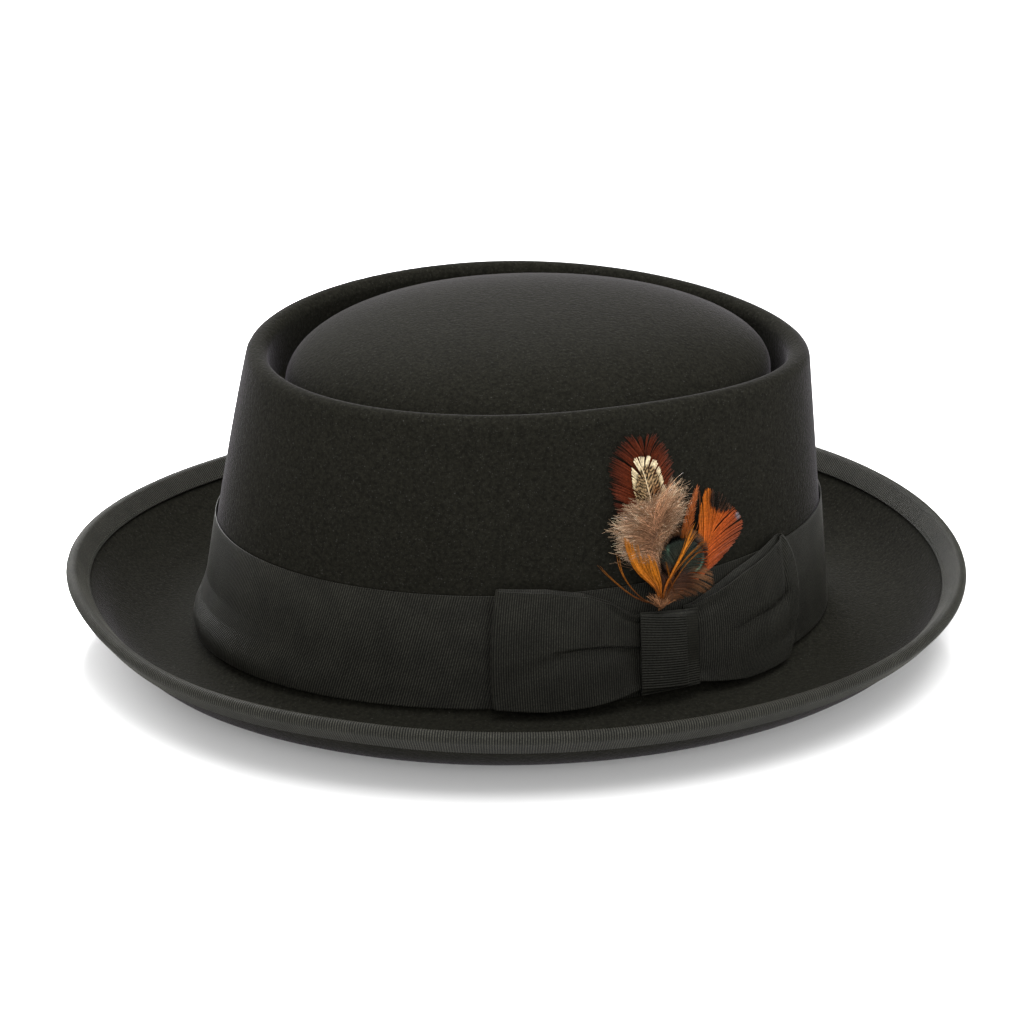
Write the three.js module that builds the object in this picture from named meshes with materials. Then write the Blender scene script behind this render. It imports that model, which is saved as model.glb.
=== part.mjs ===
// Porkpie hat in black felt: a telescope crown with a domed tip, an upturned brim bound in ribbon,
// a ribbon band with a flat bow on the wearer's left, and a bunch of feathers behind its knot.
// Millimetres. The hat rests on the underside of its brim at z = 0. -X is the front, -Y the wearer's
// left and +Z up.

import * as THREE from "three";
import { mergeVertices } from "three/addons/utils/BufferGeometryUtils.js";

// Stock: the felt, the ribbon and the air between two pieces
const FELT = 2.2;
const RIBBON = 1.0;
const GAP = 0.3;

// Head opening, across the outside of the felt at the foot of the crown
const HEAD_LENGTH = 202.4;
const HEAD_WIDTH = 166;

// Crown wall
const THROAT_HEIGHT = 3.8;
const FOOT_ROUND = 2;
const LIP_HEIGHT = 98;
const LIP_ROUND = 3.6;
const WALL_LEAN = 15.4;

// Top of the crown: the groove inside the lip and the dome in the middle
const GROOVE_WIDTH = 5.2;
const GROOVE_DEPTH = 19;
const SHOULDER_LEVEL = 86;
const DOME_HEIGHT = 107.5;
const DOME_FULLNESS = 2.25;

// Brim, across the felt from edge to edge
const BRIM_LENGTH = 281;
const BRIM_WIDTH = 273;
const BRIM_RISE = 23;
const CURL_ROUND = 34;
const REST_WIDTH = 4;
const BRIM_FULLNESS = 0.012;

// Two places where the brim's curl sags: how far, and where round the hat, in degrees
const SAGS = [
  { depth: 2.6, angle: 128, half: 60 },
  { depth: 2.0, angle: 205, half: 32 },
];

// Ribbon on the brim's edge
const BINDING_WIDTH = 6;
const BINDING_LAP = 14;
const LAP_ANGLE = 42;

// Band round the foot of the crown
const BAND_HEIGHT = 36;
const BAND_FLARE = 3.2;
const FLARE_LEVEL = 4;
const FLARE_REACH = 6.5;
const FLARE_HALF_ANGLE = 48;

// Bow: its knot stands at KNOT_ANGLE degrees from the back, towards the wearer's left
const KNOT_ANGLE = 77;
const KNOT_WIDTH = 19.5;
const KNOT_HEIGHT = 25.5;
const KNOT_LEVEL = 22;
const KNOT_TURN = 1.2;
const KNOT_PUFF = 1.2;
const LOOP_REACH = 55;
const LOOP_TUCK = 3;
const LOOP_FOLD = 2.6;
const LOOP_PUFF = 1.6;
const PLEAT_DEPTH = 1.2;
const PLEAT_LEVEL = 0.57;
const BOW_HEIGHT = 38;

// Feathers
const QUILL = 1.2;
const VANE = 1.0;
const QUILL_SPACING = 1.6;
const QUILL_TUCK = 6;
const FEATHER_HEIGHT = 57;
const BUNCH_AT = -2;

// How finely the round pieces are divided
const TURN_STEPS = 60;

// The crown and brim change evenly between these three sections of the hat.
// lean, lip, shoulder, rise and curl are shares of WALL_LEAN, LIP_HEIGHT, SHOULDER_LEVEL, BRIM_RISE
// and CURL_ROUND; hollow bends the wall, and slope is the brim's at its edge, in degrees.
const SECTIONS = {
  front: { lean: 1.0, hollow: 0.23, lip: 0.98, shoulder: 0.965, rise: 1.0, curl: 0.7, slope: 50 },
  side: { lean: 0.43, hollow: 0, lip: 0.995, shoulder: 1.0, rise: 0.87, curl: 1.0, slope: 47 },
  back: { lean: 0.43, hollow: 0, lip: 0.925, shoulder: 0.97, rise: 0.93, curl: 0.75, slope: 50 },
};
for (const [key, section] of Object.entries(SECTIONS)) {
  section.foot = (key === "side" ? HEAD_WIDTH : HEAD_LENGTH) / 2;
  section.edge = (key === "side" ? BRIM_WIDTH : BRIM_LENGTH) / 2;
}

// Loops of the bow, towards the front and the back of the hat. The rows give the lower and upper edge
// on the way out from the knot, as shares of LOOP_REACH and BOW_HEIGHT; round is how far the fold at
// the end is bowed, as a share of LOOP_REACH.
const LOOPS = {
  front: {
    way: -1,
    round: 0.02,
    rows: [
      { out: 0.0, low: 0.27, high: 0.86 },
      { out: 0.18, low: 0.24, high: 0.86 },
      { out: 0.34, low: 0.2, high: 1.01 },
      { out: 0.48, low: 0.175, high: 1.1 },
      { out: 0.7, low: 0.16, high: 1.16 },
      { out: 1.0, low: 0.185, high: 1.18 },
    ],
  },
  back: {
    way: 1,
    round: 0.13,
    rows: [
      { out: 0.0, low: 0.26, high: 0.84 },
      { out: 0.18, low: 0.21, high: 0.87 },
      { out: 0.48, low: 0.14, high: 1.04 },
      { out: 0.7, low: 0.13, high: 1.12 },
      { out: 1.0, low: 0.13, high: 1.26 },
    ],
  },
};

// Feathers, the hindmost first. layer counts vanes out from the felt. slot is the quill's place behind
// the knot, in quill spacings towards the back, and row its layer there. tip and top are the feather's
// end, along the band towards the back and up from the knot; bend is how far its middle bows towards
// the back; left and right are the vane's reach on each side of the shaft; all as shares of
// FEATHER_HEIGHT. start is where the vane begins, as a share of the shaft.
const FEATHERS = [
  {
    node: "feather_russet", layer: 1, colour: 0x6b2a17,
    slot: -1.5, row: 0, tip: -0.09, top: 1.0, bend: -0.02, start: 0.5, left: 0.19, right: 0.17,
  },
  {
    node: "feather_orange_spike", layer: 1, colour: 0xb5612a,
    slot: 0.2, row: 0, tip: 0.27, top: 0.64, bend: -0.01, start: 0.4, left: 0.03, right: 0.03,
  },
  {
    node: "feather_orange_fan", layer: 1, colour: 0xc0602a,
    slot: 1.8, row: 0, tip: 0.47, top: 0.5, bend: 0.01, start: 0.4, left: 0.13, right: 0.14,
  },
  {
    node: "feather_cream", layer: 2, colour: 0xb8a88c,
    slot: -0.5, row: 1, tip: -0.08, top: 0.89, bend: -0.01, start: 0.5, left: 0.09, right: 0.1,
  },
  {
    node: "feather_down", layer: 3, colour: 0x8a7566,
    slot: 0.4, row: 1, tip: -0.01, top: 0.76, bend: -0.025, start: 0.38, left: 0.25, right: 0.16,
  },
  {
    node: "feather_gold_left", layer: 4, colour: 0xc0832a,
    slot: -1.4, row: 1, tip: -0.22, top: 0.45, bend: -0.02, start: 0.2, left: 0.07, right: 0.08,
  },
  {
    node: "feather_green", layer: 4, colour: 0x1f2f2a,
    slot: 2.3, row: 1, tip: 0.17, top: 0.45, bend: 0.02, start: 0.26, left: 0.13, right: 0.13,
  },
  {
    node: "feather_gold_right", layer: 5, colour: 0xc0832a,
    slot: 1.3, row: 1, tip: 0.18, top: 0.48, bend: -0.03, start: 0.2, left: 0.01, right: 0.01,
  },
];

const DEGREE = Math.PI / 180;

function mix(a, b, share) {
  return a + (b - a) * share;
}

function smooth(low, high, value) {
  const share = Math.min(1, Math.max(0, (value - low) / (high - low)));
  return share * share * (3 - 2 * share);
}

// Points on an arc about (out, up), with angles in degrees from the outward direction
function arc(out, up, radius, from, to, steps) {
  return Array.from({ length: steps + 1 }, (_, i) => {
    const angle = mix(from, to, i / steps) * DEGREE;
    return [out + radius * Math.cos(angle), up + radius * Math.sin(angle)];
  });
}

// Unit vector to the left of the way from one point of an outline to the next
function leftOf([a, b], [c, d]) {
  const length = Math.hypot(c - a, d - b);
  return [(b - d) / length, (c - a) / length];
}

// An outline moved to its left by a distance, each stretch parallel to the old one
function offset(points, distance) {
  const last = points.length - 1;
  return points.map((point, i) => {
    const before = leftOf(points[Math.max(0, i - 1)], points[Math.max(1, i)]);
    const after = leftOf(points[Math.min(last - 1, i)], points[Math.min(last, i + 1)]);
    const reach = distance / (1 + before[0] * after[0] + before[1] * after[1]);
    return [point[0] + (before[0] + after[0]) * reach, point[1] + (before[1] + after[1]) * reach];
  });
}

// Crown wall

const FOOT_HEIGHT = THROAT_HEIGHT + FOOT_ROUND;

// The wall's outside in one section: how high it stands under the lip's round and how it leans in
function wallOf(section) {
  const lipTop = LIP_HEIGHT * section.lip;
  const lean = WALL_LEAN * section.lean;
  const tilt = Math.atan(lean / (lipTop - FOOT_HEIGHT));
  return { lipTop, lean, tilt, top: lipTop - LIP_ROUND * (1 - Math.sin(tilt)) };
}

function wallPoint(section, share) {
  const wall = wallOf(section);
  const lean = wall.lean * mix(share, share * share, section.hollow);
  return [section.foot - lean, mix(FOOT_HEIGHT, wall.top, share)];
}

// Outside of the felt in one section, from the middle of the dome over the groove and the lip, down
// the wall and out to the edge of the brim
function feltOutline(section) {
  const wall = wallOf(section);
  const ridge = section.foot - wall.lean - LIP_ROUND * Math.cos(wall.tilt);
  const flank = ridge - LIP_ROUND - GROOVE_WIDTH;
  const shoulder = SHOULDER_LEVEL * section.shoulder;
  const dome = [0, 20, 38, 54, 68, 80, 90].map((angle) => [
    flank * Math.sin(angle * DEGREE) ** (2 / DOME_FULLNESS),
    mix(shoulder, DOME_HEIGHT, Math.max(0, Math.cos(angle * DEGREE)) ** (2 / DOME_FULLNESS)),
  ]);
  const groove = arc(flank + GROOVE_WIDTH / 2, wall.lipTop - GROOVE_DEPTH + GROOVE_WIDTH / 2,
    GROOVE_WIDTH / 2, 180, 360, 4);
  const lip = arc(ridge, wall.lipTop - LIP_ROUND, LIP_ROUND, 180, wall.tilt / DEGREE, 5);
  const side = [0.75, 0.5, 0.25].map((share) => wallPoint(section, share));
  const foot = arc(section.foot + FOOT_ROUND, FOOT_HEIGHT, FOOT_ROUND, 180, 265, 2);
  return [...dome, ...groove, ...lip, ...side, ...foot, ...brimOutline(section)];
}

// Top of the brim in one section, from the flat ring that it rests on, up the curl to the edge
function brimOutline(section) {
  const slope = section.slope * DEGREE;
  const rise = BRIM_RISE * section.rise - FELT;
  const curl = CURL_ROUND * section.curl;
  const straight = (rise - curl * (1 - Math.cos(slope))) / Math.sin(slope);
  const rest = section.edge - curl * Math.sin(slope) - straight * Math.cos(slope);
  const edge = [section.edge, FELT + rise];
  const bend = arc(rest, FELT + curl, curl, -90, section.slope - 90, 4);
  return [[rest - REST_WIDTH, FELT], ...bend, edge];
}

// A point at an angle round the hat, counted from the back towards the wearer's right, where a
// section's point at each side is given
function blend(angle, front, side, back) {
  const cos = Math.cos(angle);
  const sin = Math.sin(angle);
  const end = cos < 0 ? front : back;
  const up = end[1] * cos * cos + side[1] * sin * sin;
  return new THREE.Vector3(end[0] * cos, side[0] * sin, up);
}

// The brim is a little fuller than an oval and sags in places: a point on it, moved to suit
function shapeBrim(point, angle) {
  const out = Math.hypot(point.x / BRIM_LENGTH, point.y / BRIM_WIDTH) * 2;
  for (const { depth, angle: middle, half } of SAGS) {
    const away = Math.abs(angle / DEGREE - middle);
    point.z -= depth * smooth(0.85, 1, out) * (1 - smooth(0, half, away));
  }
  const fuller = 1 + BRIM_FULLNESS * Math.sin(2 * angle) ** 2 * smooth(0.78, 1, out);
  point.x *= fuller;
  point.y *= fuller;
  return point;
}

// Mesh from a grid of points, with rows closed on themselves and the first and last row capped or
// joined to each other
function gridGeometry(rows, joined) {
  const width = rows[0].length;
  const index = [];
  const count = joined ? rows.length : rows.length - 1;
  for (let r = 0; r < count; r++) {
    for (let c = 0; c < width; c++) {
      const a = r * width + c;
      const b = r * width + ((c + 1) % width);
      const next = ((r + 1) % rows.length) * width;
      index.push(a, b, next + ((c + 1) % width), a, next + ((c + 1) % width), next + c);
    }
  }
  if (!joined) {
    const last = (rows.length - 1) * width;
    for (let c = 1; c < width - 1; c++) {
      index.push(0, c + 1, c, last, last + c, last + c + 1);
    }
  }
  const geometry = new THREE.BufferGeometry();
  const places = rows.flat().flatMap((point) => point.toArray());
  geometry.setAttribute("position", new THREE.Float32BufferAttribute(places, 3));
  geometry.setIndex(index);
  return tidy(geometry);
}

// Merges points that meet, drops the triangles that shrink to a line there and turns the faces out
function tidy(geometry) {
  const merged = mergeVertices(geometry, 1e-4);
  const corner = (i) => new THREE.Vector3().fromBufferAttribute(merged.attributes.position, i);
  const kept = [];
  let volume = 0;
  for (let i = 0; i < merged.index.count; i += 3) {
    const [a, b, c] = [0, 1, 2].map((k) => merged.index.getX(i + k));
    if (a === b || b === c || c === a) continue;
    kept.push([a, b, c]);
    volume += corner(a).dot(corner(b).cross(corner(c)));
  }
  merged.setIndex(kept.flatMap(([a, b, c]) => (volume > 0 ? [a, b, c] : [a, c, b])));
  return merged;
}

// A closed outline, given for the three sections, carried all the way round the hat
function ringGeometry(outlineOf, steps) {
  const rows = Array.from({ length: steps }, (_, i) => {
    const angle = (i / steps) * 2 * Math.PI;
    const [front, side, back] = ["front", "side", "back"].map((key) => outlineOf(SECTIONS[key], angle));
    return front.map((_, k) => shapeBrim(blend(angle, front[k], side[k], back[k]), angle));
  });
  return gridGeometry(rows, true);
}

function feltBody() {
  return ringGeometry((section) => {
    const outside = feltOutline(section);
    const inside = offset(outside, -FELT);
    inside[0] = [0, DOME_HEIGHT - FELT];
    return [...outside, ...inside.reverse()];
  }, TURN_STEPS);
}

// Places on the crown wall

const STEP = 0.25 * DEGREE;

// Point on the outside of the wall at an angle and a height
function wallSurface(angle, height) {
  const [front, side, back] = ["front", "side", "back"].map((key) => wallOf(SECTIONS[key]).top);
  const end = Math.cos(angle) < 0 ? front : back;
  const top = end * Math.cos(angle) ** 2 + side * Math.sin(angle) ** 2;
  const share = (height - FOOT_HEIGHT) / (top - FOOT_HEIGHT);
  return blend(angle, ...["front", "side", "back"].map((key) => wallPoint(SECTIONS[key], share)));
}

// Angle of the place that lies a distance from the knot along the band, counted towards the back
function angleAlong(distance) {
  const way = distance < 0 ? -1 : 1;
  let angle = -KNOT_ANGLE * DEGREE;
  let left = Math.abs(distance);
  let from = wallSurface(angle, KNOT_LEVEL);
  for (;;) {
    const to = wallSurface(angle + way * STEP, KNOT_LEVEL);
    const length = from.distanceTo(to);
    if (left <= length) return angle + way * STEP * (left / length);
    left -= length;
    angle += way * STEP;
    from = to;
  }
}

// Point a distance along the band from the knot, at a height, standing off the felt by lift
function onWall(along, height, lift) {
  const angle = angleAlong(along);
  const point = wallSurface(angle, height);
  const level = wallSurface(angle + STEP, height).sub(point);
  const rise = wallSurface(angle, height + 1).sub(point);
  const normal = level.cross(rise).normalize();
  return point.addScaledVector(normal, lift);
}

// Hat band

const BAND_LOW = FOOT_HEIGHT + GAP;
const BAND_LIFT = GAP + RIBBON;

// How far the lower part of the band stands out at an angle and a height: it flares at the front
function flareAt(angle, height) {
  const fromFront = Math.abs(angle / DEGREE - 180);
  const round = Math.exp(-(((height - FLARE_LEVEL) / FLARE_REACH) ** 2));
  return BAND_FLARE * round * (1 - smooth(0, FLARE_HALF_ANGLE, fromFront));
}

function hatBand() {
  return ringGeometry((section, angle) => {
    const top = wallOf(section).top;
    const line = [0, 4, 8, 12, 18, BAND_HEIGHT].map((height) => {
      const share = (BAND_LOW + height - FOOT_HEIGHT) / (top - FOOT_HEIGHT);
      const [out, up] = wallPoint(section, share);
      return [out + flareAt(angle, height), up];
    });
    return [...offset(line, -GAP), ...offset(line, -BAND_LIFT).reverse()];
  }, TURN_STEPS);
}

// Ribbon folded over the edge of the brim, lapped over itself for a short way
function brimBinding() {
  return ringGeometry((section, angle) => {
    const slope = section.slope * DEGREE;
    const along = [Math.cos(slope), Math.sin(slope)];
    const across = [-along[1], along[0]];
    const middle = [
      section.edge - (across[0] * FELT) / 2,
      BRIM_RISE * section.rise - (across[1] * FELT) / 2,
    ];
    const fromLap = Math.abs(angle / DEGREE - LAP_ANGLE) * DEGREE * section.edge;
    const lap = fromLap < BINDING_LAP / 2 ? RIBBON / 2 : 0;
    const inner = FELT / 2 + GAP;
    const outer = inner + RIBBON + lap;
    const fold = (radius) => [
      [-BINDING_WIDTH, -radius], [0, -radius],
      ...[-45, 0, 45].map((turn) => [radius * Math.cos(turn * DEGREE), radius * Math.sin(turn * DEGREE)]),
      [0, radius], [-BINDING_WIDTH, radius],
    ];
    return [...fold(inner), ...fold(outer).reverse()].map(([forth, side]) => [
      middle[0] + along[0] * forth + across[0] * side,
      middle[1] + along[1] * forth + across[1] * side,
    ]);
  }, TURN_STEPS);
}

// Bow

// A ribbon of one thickness: its middle line is a path, given for each row across its width, and
// place turns a point of the path into a point on the hat
function ribbonGeometry(rowCount, pathAt, place) {
  const lines = Array.from({ length: rowCount }, (_, r) => {
    const path = pathAt(r / (rowCount - 1));
    return { one: offset(path, RIBBON / 2), other: offset(path, -RIBBON / 2) };
  });
  const rows = lines[0].one.map((_, i) => [
    ...lines.map((line, r) => place(line.one[i], r / (rowCount - 1))),
    ...lines.map((line, r) => place(line.other[i], r / (rowCount - 1))).reverse(),
  ]);
  return gridGeometry(rows, false);
}

function tableAt(table, column, out) {
  const i = Math.min(table.length - 2, table.findLastIndex((row) => row.out <= Math.max(out, 0)));
  const share = (out - table[i].out) / (table[i + 1].out - table[i].out);
  return mix(table[i][column], table[i + 1][column], share);
}

// One loop of the bow: ribbon that runs out from under the knot, folds back and lies on the band
function bowLoop({ way, round, rows }) {
  const under = BAND_LIFT + GAP + RIBBON / 2;
  const over = under + LOOP_FOLD;
  const pinch = under + RIBBON + GAP;
  const start = KNOT_WIDTH / 2 - LOOP_TUCK;
  const bend = LOOP_REACH - LOOP_FOLD / 2;
  const path = (across) => {
    const end = bend - round * LOOP_REACH * (2 * across - 1) ** 2;
    const outer = [0, 0.15, 0.3, 0.5, 0.7, 0.85, 1].map((share) => {
      const gathered = 1 - smooth(0, 0.35, share);
      const crease = Math.exp(-(((across - PLEAT_LEVEL) / 0.13) ** 2));
      const pleat = PLEAT_DEPTH * crease * smooth(0, 0.15, share) * (1 - smooth(0.1, 0.6, share));
      const puff = LOOP_PUFF * Math.sin(Math.PI * share) - pleat;
      return [mix(start, end, share), mix(over, pinch, gathered) + puff];
    });
    const fold = arc(end, (over + under) / 2, LOOP_FOLD / 2, 90, -90, 4).slice(1, -1);
    const inner = [1, 0.8, 0.6, 0.4, 0.2, 0].map((share) => [mix(start, end, share), under]);
    return [...outer, ...fold, ...inner];
  };
  const place = ([out, lift], across) => {
    const share = out / LOOP_REACH;
    const low = tableAt(rows, "low", share) * BOW_HEIGHT;
    const high = tableAt(rows, "high", share) * BOW_HEIGHT;
    return onWall(way * out, mix(low, high, across), lift);
  };
  return ribbonGeometry(7, path, place);
}

// Knot: ribbon wrapped over the middle of the bow, clear of the quills behind it
const QUILL_LIFT = BAND_LIFT + GAP + VANE / 2;
const ROW_LIFT = VANE + GAP;
const KNOT_LIFT = QUILL_LIFT + ROW_LIFT + VANE / 2 + GAP + RIBBON / 2 + KNOT_TURN / 2;
const KNOT_TOP = KNOT_LEVEL + KNOT_HEIGHT / 2;

function bowKnot() {
  const low = KNOT_TOP - KNOT_HEIGHT;
  const path = (across) => {
    const puff = KNOT_PUFF * Math.sin(Math.PI * mix(0.1, 0.9, across));
    return [
      [KNOT_TOP, KNOT_LIFT - KNOT_TURN / 2],
      [KNOT_TOP - KNOT_TURN / 2, KNOT_LIFT + puff / 2],
      [mix(KNOT_LEVEL, KNOT_TOP, 0.5), KNOT_LIFT + puff],
      [KNOT_LEVEL, KNOT_LIFT + puff],
      [mix(KNOT_LEVEL, low, 0.5), KNOT_LIFT + puff],
      [low + KNOT_TURN / 2, KNOT_LIFT + puff / 2],
      [low, KNOT_LIFT - KNOT_TURN / 2],
    ];
  };
  const place = ([height, lift], across) => onWall((across - 0.5) * KNOT_WIDTH, height, lift);
  return ribbonGeometry(5, path, place);
}

// Feathers

// A feather: a quill that rises from behind the knot and widens into a vane, lens shaped across
function feather({ slot, row, tip, top, bend, start, left, right, layer }) {
  const foot = new THREE.Vector2(BUNCH_AT + slot * QUILL_SPACING, KNOT_TOP - QUILL_TUCK);
  const end = new THREE.Vector2(BUNCH_AT + tip * FEATHER_HEIGHT, KNOT_TOP + top * FEATHER_HEIGHT);
  const shaft = end.clone().sub(foot);
  const across = new THREE.Vector2(shaft.y, -shaft.x).normalize();
  const footLift = QUILL_LIFT + row * ROW_LIFT;
  const vaneLift = Math.max(footLift, GAP + layer * (VANE + 2 * GAP));
  const clear = QUILL_TUCK / shaft.y;
  const rows = [0, 0.1, 0.2, 0.3, 0.42, 0.54, 0.66, 0.78, 0.88, 0.95, 1].map((share) => {
    const middle = foot.clone().addScaledVector(shaft, share);
    middle.addScaledVector(across, bend * FEATHER_HEIGHT * Math.sin(Math.PI * share));
    const lift = mix(footLift, vaneLift, smooth(clear, clear + 0.2, share));
    const way = (share - start) / (1.03 - start);
    const spread = Math.sqrt(Math.max(0, 4 * way * (1 - way)));
    const at = (side, off) => {
      const point = middle.clone().addScaledVector(across, side);
      return onWall(point.x, point.y, lift + off);
    };
    return [
      at(-QUILL / 2 - left * FEATHER_HEIGHT * spread, 0),
      at(0, -VANE / 2),
      at(QUILL / 2 + right * FEATHER_HEIGHT * spread, 0),
      at(0, VANE / 2),
    ];
  });
  return gridGeometry(rows, false);
}

// Materials and the finished hat

function mesh(name, geometry, colour, roughness) {
  const material = new THREE.MeshStandardMaterial({ color: colour, roughness, metalness: 0 });
  const piece = new THREE.Mesh(geometry, material);
  piece.name = name;
  return piece;
}

const hat = new THREE.Group();
hat.add(mesh("felt_body", feltBody(), 0x232321, 0.95));
hat.add(mesh("brim_binding", brimBinding(), 0x2b2b2d, 0.6));
hat.add(mesh("hat_band", hatBand(), 0x1c1c1b, 0.6));
hat.add(mesh("bow_loop_front", bowLoop(LOOPS.front), 0x1f1f1e, 0.6));
hat.add(mesh("bow_loop_back", bowLoop(LOOPS.back), 0x1f1f1e, 0.6));
hat.add(mesh("bow_knot", bowKnot(), 0x1f1f1e, 0.6));
for (const row of FEATHERS) {
  hat.add(mesh(row.node, feather(row), row.colour, 0.8));
}

export default hat;
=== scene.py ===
"""Black felt porkpie hat: felt, grosgrain ribbons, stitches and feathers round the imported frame.

Shapes are worked out in millimetres and handed to Blender in metres. -X is the front of the hat,
-Y the wearer's left and +Z up.
"""

import math

import bpy
import numpy as np
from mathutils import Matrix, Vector


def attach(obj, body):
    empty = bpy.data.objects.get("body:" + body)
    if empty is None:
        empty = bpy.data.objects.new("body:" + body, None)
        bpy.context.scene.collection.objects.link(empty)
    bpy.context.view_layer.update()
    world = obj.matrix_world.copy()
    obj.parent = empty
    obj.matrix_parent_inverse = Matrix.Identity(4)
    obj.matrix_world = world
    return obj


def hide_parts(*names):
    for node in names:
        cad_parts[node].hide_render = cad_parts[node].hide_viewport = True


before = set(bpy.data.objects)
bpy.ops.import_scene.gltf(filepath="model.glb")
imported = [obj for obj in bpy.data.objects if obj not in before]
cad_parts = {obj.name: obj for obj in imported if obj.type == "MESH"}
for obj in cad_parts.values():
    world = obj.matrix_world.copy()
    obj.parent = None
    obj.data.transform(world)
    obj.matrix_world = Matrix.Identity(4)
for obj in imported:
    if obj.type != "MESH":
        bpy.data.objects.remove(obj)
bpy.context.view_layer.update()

MM = 0.001
rng = np.random.default_rng(17)

# Sizes of the hat, as in its solids
FELT = 2.2
RIBBON = 1.0
GAP = 0.3
HEAD_LENGTH, HEAD_WIDTH = 202.4, 166
THROAT_HEIGHT, FOOT_ROUND = 3.8, 2
LIP_HEIGHT, LIP_ROUND, WALL_LEAN = 98, 3.6, 15.4
GROOVE_WIDTH, GROOVE_DEPTH = 5.2, 19
SHOULDER_LEVEL, DOME_HEIGHT, DOME_FULLNESS = 86, 107.5, 2.25
BRIM_LENGTH, BRIM_WIDTH, BRIM_RISE = 281, 273, 23
CURL_ROUND, REST_WIDTH = 34, 4
BRIM_FULLNESS = 0.012
BINDING_WIDTH = 6
BAND_HEIGHT, BAND_FLARE, FLARE_LEVEL, FLARE_REACH, FLARE_HALF_ANGLE = 36, 3.2, 4, 6.5, 48
KNOT_ANGLE, KNOT_WIDTH, KNOT_HEIGHT, KNOT_LEVEL = 77, 19.5, 25.5, 22
LOOP_REACH, LOOP_TUCK, BOW_HEIGHT = 55, 3, 38
FOOT_HEIGHT = THROAT_HEIGHT + FOOT_ROUND
BAND_LOW = FOOT_HEIGHT + GAP

# Where the brim's curl sags: (depth, angle round the hat, half its width), in mm and degrees
SAGS = ((2.6, 128, 60), (2.0, 205, 32))

# The ribbons' own thickness, the spacing and depth of their ribs, and the steps for each rib
WEAVE = 0.5
BAND_RIB, BOW_RIB, KNOT_RIB, BINDING_RIB = 0.8, 0.71, 0.78, 0.78
RIB_DEPTH, RIB_STEPS, KNOT_RIB_STEPS = 0.2, 4, 6
THREADS = 2.4  # for each mm along a rib

# The camera faces TARGET. Its focal length and the middle of its view are in pixels of the picture
AZIMUTH, ELEVATION, DISTANCE = math.radians(-17.15), math.radians(20.88), 1600
TARGET = np.array([0, 0, 50.0])
PICTURE, FOCAL, CENTRE_X, CENTRE_Y, SENSOR = 1024, 5030.8, 516.0, 475.4, 36
TO_CAMERA = np.array([
    math.sin(AZIMUTH) * math.cos(ELEVATION),
    -math.cos(AZIMUTH) * math.cos(ELEVATION),
    math.sin(ELEVATION),
])
RIGHT = np.array([math.cos(AZIMUTH), math.sin(AZIMUTH), 0])
UP = np.cross(TO_CAMERA, RIGHT)

# Most columns are shares of a size above, and slope is the brim's, in degrees
SECTIONS = {
    "front": dict(lean=1.0, hollow=0.23, lip=0.98, shoulder=0.965, rise=1.0, curl=0.7, slope=50),
    "side": dict(lean=0.43, hollow=0.0, lip=0.995, shoulder=1.0, rise=0.87, curl=1.0, slope=47),
    "back": dict(lean=0.43, hollow=0.0, lip=0.925, shoulder=0.97, rise=0.93, curl=0.75, slope=50),
}
for key, section in SECTIONS.items():
    section["foot"] = (HEAD_WIDTH if key == "side" else HEAD_LENGTH) / 2
    section["edge"] = (BRIM_WIDTH if key == "side" else BRIM_LENGTH) / 2


# Numbers

def mix(a, b, share):
    return a + (b - a) * share


def shares(count):
    return np.linspace(0, 1, count)


def smooth(low, high, value):
    share = np.clip((value - low) / (high - low), 0, 1)
    return share * share * (3 - 2 * share)


def arc(out, up, radius, start, end, steps):
    angle = np.radians(np.linspace(start, end, steps + 1))
    return np.column_stack([out + radius * np.cos(angle), up + radius * np.sin(angle)])


def offset(points, distance):
    """An outline moved to its left by a distance."""
    way = np.diff(points, axis=0)
    way /= np.linalg.norm(way, axis=1)[:, None]
    side = np.column_stack([-way[:, 1], way[:, 0]])
    before = np.vstack([side[:1], side])
    after = np.vstack([side, side[-1:]])
    return points + (before + after) * (distance / (1 + (before * after).sum(1)))[:, None]


def unit(vectors):
    return vectors / np.maximum(np.linalg.norm(vectors, axis=-1, keepdims=True), 1e-9)


# The hat's own shape

def wall_of(section):
    top = LIP_HEIGHT * section["lip"]
    lean = WALL_LEAN * section["lean"]
    tilt = math.atan(lean / (top - FOOT_HEIGHT))
    return top, lean, tilt, top - LIP_ROUND * (1 - math.sin(tilt))


def wall_point(section, share):
    _, lean, _, wall_top = wall_of(section)
    lean = lean * mix(share, share * share, section["hollow"])
    return np.stack([section["foot"] - lean, mix(FOOT_HEIGHT, wall_top, share)], -1)


def brim_outline(section, steps):
    slope = math.radians(section["slope"])
    rise = BRIM_RISE * section["rise"] - FELT
    curl = CURL_ROUND * section["curl"]
    straight = (rise - curl * (1 - math.cos(slope))) / math.sin(slope)
    rest = section["edge"] - curl * math.sin(slope) - straight * math.cos(slope)
    bend = arc(rest, FELT + curl, curl, -90, section["slope"] - 90, steps)
    end = np.array([section["edge"], FELT + rise])
    out = np.linspace(bend[-1], end, 6)[1:]
    return np.vstack([[[rest - REST_WIDTH, FELT]], bend, out])


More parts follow.
